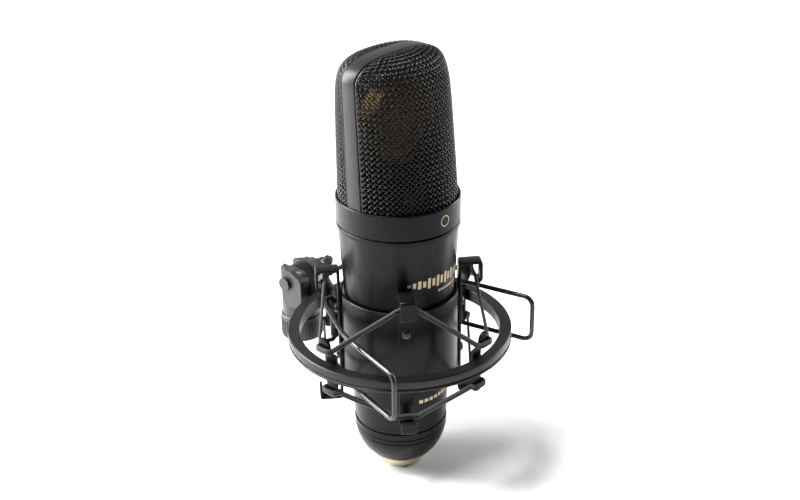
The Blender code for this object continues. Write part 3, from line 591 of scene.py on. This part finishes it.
def plate(name, node, line, width, thick, angle, material, ends):
    """Bent strip with rounded corners: line is (radial, height) points along its middle."""
    points = [np.array(p, float) for p in line]
    dense = []
    for a, b in zip(points, points[1:]):
        steps = max(1, int(np.linalg.norm(b - a) / 0.35))
        dense += [a + (b - a) * i / steps for i in range(steps)]
    dense.append(points[-1])
    for _ in range(3):
        softened = [(p + 2 * q + s) / 4 for p, q, s in zip(dense, dense[1:], dense[2:])]
        dense = [dense[0]] + softened + [dense[-1]]
    dense = np.array(dense)
    along = np.concatenate([[0], np.cumsum(np.linalg.norm(np.diff(dense, axis=0), axis=1))])
    total = along[-1]
    direction = np.gradient(dense, axis=0)
    direction /= np.linalg.norm(direction, axis=1)[:, None]
    normal = np.stack([-direction[:, 1], direction[:, 0]], 1)
    a = math.radians(angle)
    radial = np.array([math.sin(a), -math.cos(a), 0])
    across = np.array([math.cos(a), math.sin(a), 0])
    soft, least = 0.28, 0.35              # rounding of the edges, smallest half width
    bm = bmesh.new()
    rings = []
    for p, n, s in zip(dense, normal, along):
        half = width / 2
        for end, reach in ((0.0, ends[0]), (total, ends[1])):
            near = abs(s - end)
            if reach and near < reach:
                half -= reach - math.sqrt(max(0.0, reach ** 2 - (reach - near) ** 2))
        half = max(half, least)
        ring = []
        for cx, cy, start in ((1, 1, 0), (-1, 1, 90), (-1, -1, 180), (1, -1, 270)):
            for step in (0, 45, 90):
                turn = math.radians(start + step)
                u = cx * (half - soft) + soft * math.cos(turn)
                v = cy * (thick / 2 - soft) + soft * math.sin(turn)
                flat = p + n * v
                spot = radial * flat[0] + across * u + np.array([0, 0, flat[1]])
                ring.append(bm.verts.new(Vector(spot)))
        rings.append(ring)
    for here, there in zip(rings, rings[1:]):
        for j in range(12):
            k = (j + 1) % 12
            bm.faces.new((here[j], here[k], there[k], there[j]))
    bm.faces.new(rings[0])
    bm.faces.new(list(reversed(rings[-1])))
    from_bmesh(name, bm, BODY_OF[node], material, [node], "satin_black_metal", angle=50)


def posts():
    middle = 38.65
    line = [(middle + 0.9, 47.4), (middle + 0.6, 50.2), (middle, 53.0), (middle, 64.8),
            (middle + 3.0, 68.2), (middle + 4.0, 74.2)]
    for name, angle in POSTS.items():
        plate(f"post_{name}", f"ring_post_{name}", line, POST_WIDTH, 1.5, angle, SATIN, (1.6, 2.2))


def straps():
    inner, reach = 23.9, 32.3
    line = [(reach - 1.6, 80.0), (reach, 81.2), (reach, 88.6), (inner, 88.6), (inner, 31.5),
            (reach, 31.5), (reach, 36.6)]
    for name, angle in HOOKS.items():
        plate(f"strap_{name}", f"hook_strap_{name}", line, 6.0, 1.1, angle, SATIN, (1.0, 1.0))


def socket_ribs():
    """Fine upright ribs round the grip of the stand socket."""
    turn, reach, radius, count = math.radians(RING_TURN), 56.0, 8.8, 40
    centre = Vector((-reach * math.sin(turn), reach * math.cos(turn), 0))
    bm = bmesh.new()
    for i in range(count):
        middle = 2 * math.pi * i / count
        rows = []
        for z, sink in ((38.9, 0.35), (39.3, 0.0), (46.6, 0.0), (47.0, 0.35)):
            row = []
            crown = 0.24 - sink
            for aside, out in ((-0.42, -0.3), (-0.2, crown), (0.2, crown), (0.42, -0.3)):
                a = middle + aside / radius
                r = radius + out
                row.append(bm.verts.new(centre + Vector((r * math.sin(a), -r * math.cos(a), z))))
            rows.append(row)
        for low, high in zip(rows, rows[1:]):
            for j in range(4):
                k = (j + 1) % 4
                bm.faces.new((low[j], low[k], high[k], high[j]))
        bm.faces.new(rows[0])
        bm.faces.new(list(reversed(rows[-1])))
    from_bmesh("socket_ribs", bm, "stand_swivel", PLASTIC, slot="black_plastic", angle=50)


# ---------------------------------------------------------------- printed marks
def on_body(name, outlines, radius_at, material):
    """Thin printed patches wrapped round the microphone: outlines of (arc, height) points."""
    bm = bmesh.new()
    for outline in outlines:
        outer, inner = outline if len(outline) == 2 else (outline[0], None)
        layers = []
        for lift in (0.01, 0.05):
            rows = []
            for points in ([outer, inner] if inner else [outer]):
                row = []
                for s, z in points:
                    r = radius_at(z) + lift
                    row.append(bm.verts.new((r * math.sin(s / r), -r * math.cos(s / r), z)))
                rows.append(row)
            layers.append(rows)
        if inner:
            n = len(outer)
            for rows in layers:
                for j in range(n):
                    k = (j + 1) % n
                    bm.faces.new((rows[0][j], rows[0][k], rows[1][k], rows[1][j]))
            for which in (0, 1):
                for j in range(n):
                    k = (j + 1) % n
                    bm.faces.new((layers[0][which][j], layers[0][which][k],
                                  layers[1][which][k], layers[1][which][j]))
        else:
            n = len(outer)
            for rows in layers:
                bm.faces.new(rows[0])
            for j in range(n):
                k = (j + 1) % n
                bm.faces.new((layers[0][0][j], layers[0][0][k], layers[1][0][k], layers[1][0][j]))
    from_bmesh(name, bm, "microphone", material, slot="pale_gold", angle=40)


def marks():
    """Plain generic marks where the photograph has lettering: a ring, bars and blocks."""
    def loop(radius, z, n=40):
        return [(radius * math.cos(2 * math.pi * i / n),
                 z + radius * math.sin(2 * math.pi * i / n)) for i in range(n)]

    def bar(s, z, wide, tall):
        return ([(s - wide / 2, z - tall / 2), (s + wide / 2, z - tall / 2),
                 (s + wide / 2, z + tall / 2), (s - wide / 2, z + tall / 2)],)

    collar_radius, ring_height = 24.0, 114.8
    on_body("round_mark", [(loop(2.2, ring_height), loop(1.85, ring_height))],
            lambda z: collar_radius, PRINT)
    heights = (1.2, 2.2, 3.4, 2.6, 4.4, 3.2, 4.8, 3.4, 4.8, 3.2, 4.4, 2.6, 3.4, 2.2, 1.2)
    bars = [bar((i - 7) * 2.05, 90.3, 1.25, tall) for i, tall in enumerate(heights)]
    bars += [bar(-1.0 + 1.55 * i, 85.7, 1.15, 0.9) for i in range(9)]
    bars += [bar(-7.2 + 2.4 * i, 36.6, 1.7, 1.5) for i in range(7)]
    waist, waist_radius = 40.0, 19.4      # the body widens faster above this height
    slope = (23.4 - waist_radius) / (107.2 - waist)
    foot = (waist_radius - 18.8) / (waist - 23.9)
    on_body("level_mark", bars,
            lambda z: waist_radius + (z - waist) * (slope if z > waist else foot), PRINT)


# ---------------------------------------------------------------- carried-over nodes
KEPT = {
    "body_tube": (SATIN, "satin_black_metal", 0.12), "collar": (SATIN, "satin_black_metal", 0.15),
    "end_cap": (SATIN, "satin_black_metal", 0.12), "lock_ring": (SATIN, "satin_black_metal", 0.1),
    "cradle_sleeve": (SLEEVE_PAINT, "satin_black_metal", 0.15),
    "outer_ring": (RING_PAINT, "satin_black_metal", 0.2),
    "head_hoop": (SATIN, "satin_black_metal", 0.1),
    "xlr_barrel": (GOLD, "pale_gold", 0.12), "xlr_insert": (PLASTIC, "black_plastic", 0.15),
    "thread_bush": (BRASS, "brass", 0.1), "pivot_bolt": (BOLT_STEEL, "steel", 0.1),
    "stand_adapter": (PLASTIC, "black_plastic", 0.35), "wing_knob": (PLASTIC, "black_plastic", 0.0),
    "capsule_ring_front": (CAPSULE_GOLD, "pale_gold", 0.15),
    "capsule_ring_back": (CAPSULE_GOLD, "pale_gold", 0.15),
    "diaphragm_front": (FILM, "gold_film", 0.0), "diaphragm_back": (FILM, "gold_film", 0.0),
    "capsule_backplate": (BRASS, "brass", 0.0), "capsule_deck": (PLASTIC, "black_plastic", 0.2),
    "capsule_saddle": (PLASTIC, "black_plastic", 0.3), "felt_lining": (FELT, "felt", 0.0),
    "circuit_board": (BOARD, "board_green", 0.0), "output_transformer": (STEEL, "steel", 0.3),
    "coupling_capacitor": (PLASTIC, "black_plastic", 0.2),
    "filter_capacitor": (PLASTIC, "black_plastic", 0.2),
}
for label in ("left", "right"):
    KEPT[f"chassis_rail_{label}"] = (STEEL, "steel", 0.1)
    KEPT[f"handle_wire_{label}"] = (WIRE_PAINT, "black_wire", 0.0)
    KEPT[f"clamp_jaw_{label}"] = (SATIN, "satin_black_metal", 0.2)
    KEPT[f"clamp_pad_{label}"] = (RUBBER, "rubber", 0.3)
for number in (1, 2, 3):
    KEPT[f"xlr_pin_{number}"] = (GOLD, "pale_gold", 0.1)
for place in HOOKS:
    for level in ("upper", "lower"):
        KEPT[f"rivet_{place}_{level}"] = (WIRE_PAINT, "black_wire", 0.0)
for node, (material, slot, bevel) in KEPT.items():
    refine(node, material, slot, bevel, angle=50 if "rivet" in node or "wire" in node else 32)

band()
posts()
straps()
socket_ribs()
grille("mesh_front", -1)
grille("mesh_back", 1)
liner("gauze_front", -1)
liner("gauze_back", 1)
elastic("elastic_upper_strands", "elastic_upper", 84.0, 69.6, 43.7)
elastic("elastic_lower_strands", "elastic_lower", 37.4, 50.2, 41.1)
marks()


# ---------------------------------------------------------------- floor, light and camera
VIEW = math.radians(-46.3)
BACK = Vector((math.sin(VIEW), -math.cos(VIEW), 0))      # from the object to the camera, level
RIGHT = Vector((math.cos(VIEW), math.sin(VIEW), 0))
AIM_HEIGHT = 0.09                                        # metres; where the lights point
CAMERA_REACH, CAMERA_HEIGHT = 0.460, 0.31995             # metres, level and up from the foot


def floor():
    material, nodes, links, shader = new_material("pale_floor")
    soft = noise(nodes, links, 3.0, 2.0)
    links.new(mix_colours(nodes, links, soft, (0.90, 0.90, 0.90), (0.93, 0.93, 0.93)),
              shader.inputs["Base Color"])
    shader.inputs["Roughness"].default_value = 0.9
    shader.inputs["Specular IOR Level"].default_value = 0.0
    # Painted light: the floor glows, from none at 0.45 m from its middle to a strength of 0.8
    # beyond 1 m, lighting its far part white.
    reach = nodes.new("ShaderNodeVectorMath")
    reach.operation = "LENGTH"
    links.new(nodes.new("ShaderNodeTexCoord").outputs["Object"], reach.inputs[0])
    painted_far_glow = nodes.new("ShaderNodeMapRange")
    painted_far_glow.interpolation_type = "SMOOTHSTEP"
    painted_far_glow.inputs["From Min"].default_value = 0.45
    painted_far_glow.inputs["From Max"].default_value = 1.0
    painted_far_glow.inputs["To Max"].default_value = 0.8
    links.new(reach.outputs["Value"], painted_far_glow.inputs["Value"])
    shader.inputs["Emission Color"].default_value = (1, 1, 1, 1)
    links.new(painted_far_glow.outputs["Result"], shader.inputs["Emission Strength"])
    bm = bmesh.new()
    bmesh.ops.create_circle(bm, cap_ends=True, segments=96, radius=6.0)
    mesh = bpy.data.meshes.new("studio_floor")
    bm.to_mesh(mesh)
    bm.free()
    mesh.materials.append(material)
    obj = bpy.data.objects.new("studio_floor", mesh)
    bpy.context.collection.objects.link(obj)


def area(name, aside, towards, height, size, power):
    """Soft box: aside to the camera's right, towards the camera, both from the axis."""
    data = bpy.data.lights.new(name, "AREA")
    data.shape = "RECTANGLE"
    data.size, data.size_y = size
    data.energy = power
    obj = bpy.data.objects.new(name, data)
    bpy.context.collection.objects.link(obj)
    obj.location = AXIS + RIGHT * aside + BACK * towards + Vector((0, 0, height))
    aim = AXIS + Vector((0, 0, AIM_HEIGHT)) - obj.location
    obj.rotation_euler = aim.to_track_quat("-Z", "Y").to_euler()


def world():
    """White studio behind the object, falling off to a dark one in front of it."""
    scene_world = bpy.data.worlds.new("studio")
    scene_world.use_nodes = True
    nodes, links = scene_world.node_tree.nodes, scene_world.node_tree.links
    background = nodes["Background"]
    background.inputs["Color"].default_value = (1, 1, 1, 1)
    direction = nodes.new("ShaderNodeTexCoord").outputs["Generated"]
    along = nodes.new("ShaderNodeVectorMath")
    along.operation = "DOT_PRODUCT"
    along.inputs[1].default_value = -BACK
    links.new(direction, along.inputs[0])
    fall = nodes.new("ShaderNodeMapRange")
    fall.interpolation_type = "SMOOTHSTEP"
    fall.inputs["From Min"].default_value = -0.35
    fall.inputs["From Max"].default_value = 0.75
    fall.inputs["To Min"].default_value = 0.02
    fall.inputs["To Max"].default_value = 0.68
    links.new(along.outputs["Value"], fall.inputs["Value"])
    links.new(fall.outputs["Result"], background.inputs["Strength"])
    seen = nodes.new("ShaderNodeBackground")
    seen.inputs["Color"].default_value = (1, 1, 1, 1)
    seen.inputs["Strength"].default_value = 0.95
    ray = nodes.new("ShaderNodeLightPath")
    mix = nodes.new("ShaderNodeMixShader")
    links.new(ray.outputs["Is Camera Ray"], mix.inputs["Fac"])
    links.new(background.outputs["Background"], mix.inputs[1])
    links.new(seen.outputs["Background"], mix.inputs[2])
    links.new(mix.outputs["Shader"], nodes["World Output"].inputs["Surface"])
    bpy.context.scene.world = scene_world
    bpy.context.scene.view_settings.view_transform = "Standard"


def camera():
    """The photograph's viewpoint, fitted to outlines; its distance is a judgement."""
    pitch, roll, yaw = math.radians(26.065), math.radians(-0.706), math.radians(0.065)

    def turned(v):
        return -BACK * v[0] - RIGHT * v[1] + Vector((0, 0, v[2]))

    ahead = Vector((math.cos(pitch) * math.cos(yaw), -math.cos(pitch) * math.sin(yaw),
                    -math.sin(pitch)))
    side = Vector((-math.sin(yaw), -math.cos(yaw), 0))
    up = side.cross(ahead)
    right = side * math.cos(roll) + up * math.sin(roll)
    above = up * math.cos(roll) - side * math.sin(roll)
    data = bpy.data.cameras.new("camera")
    data.sensor_width = 36.0
    data.lens = 59.43
    data.clip_start, data.clip_end = 0.01, 20.0
    obj = bpy.data.objects.new("camera", data)
    bpy.context.collection.objects.link(obj)
    axes = Matrix((turned(right), turned(above), -turned(ahead))).transposed().to_4x4()
    place = AXIS + BACK * CAMERA_REACH + Vector((0, 0, CAMERA_HEIGHT))
    obj.matrix_world = Matrix.Translation(place) @ axes
    bpy.context.scene.camera = obj


floor()
world()
area("soft_left", -0.50, -0.10, 0.36, (0.26, 0.6), 12.0)
area("soft_right", 0.55, -0.34, 0.16, (0.18, 0.5), 3.5)
area("key_above", -0.27, 0.12, 0.95, (0.22, 0.22), 9.5)
camera()
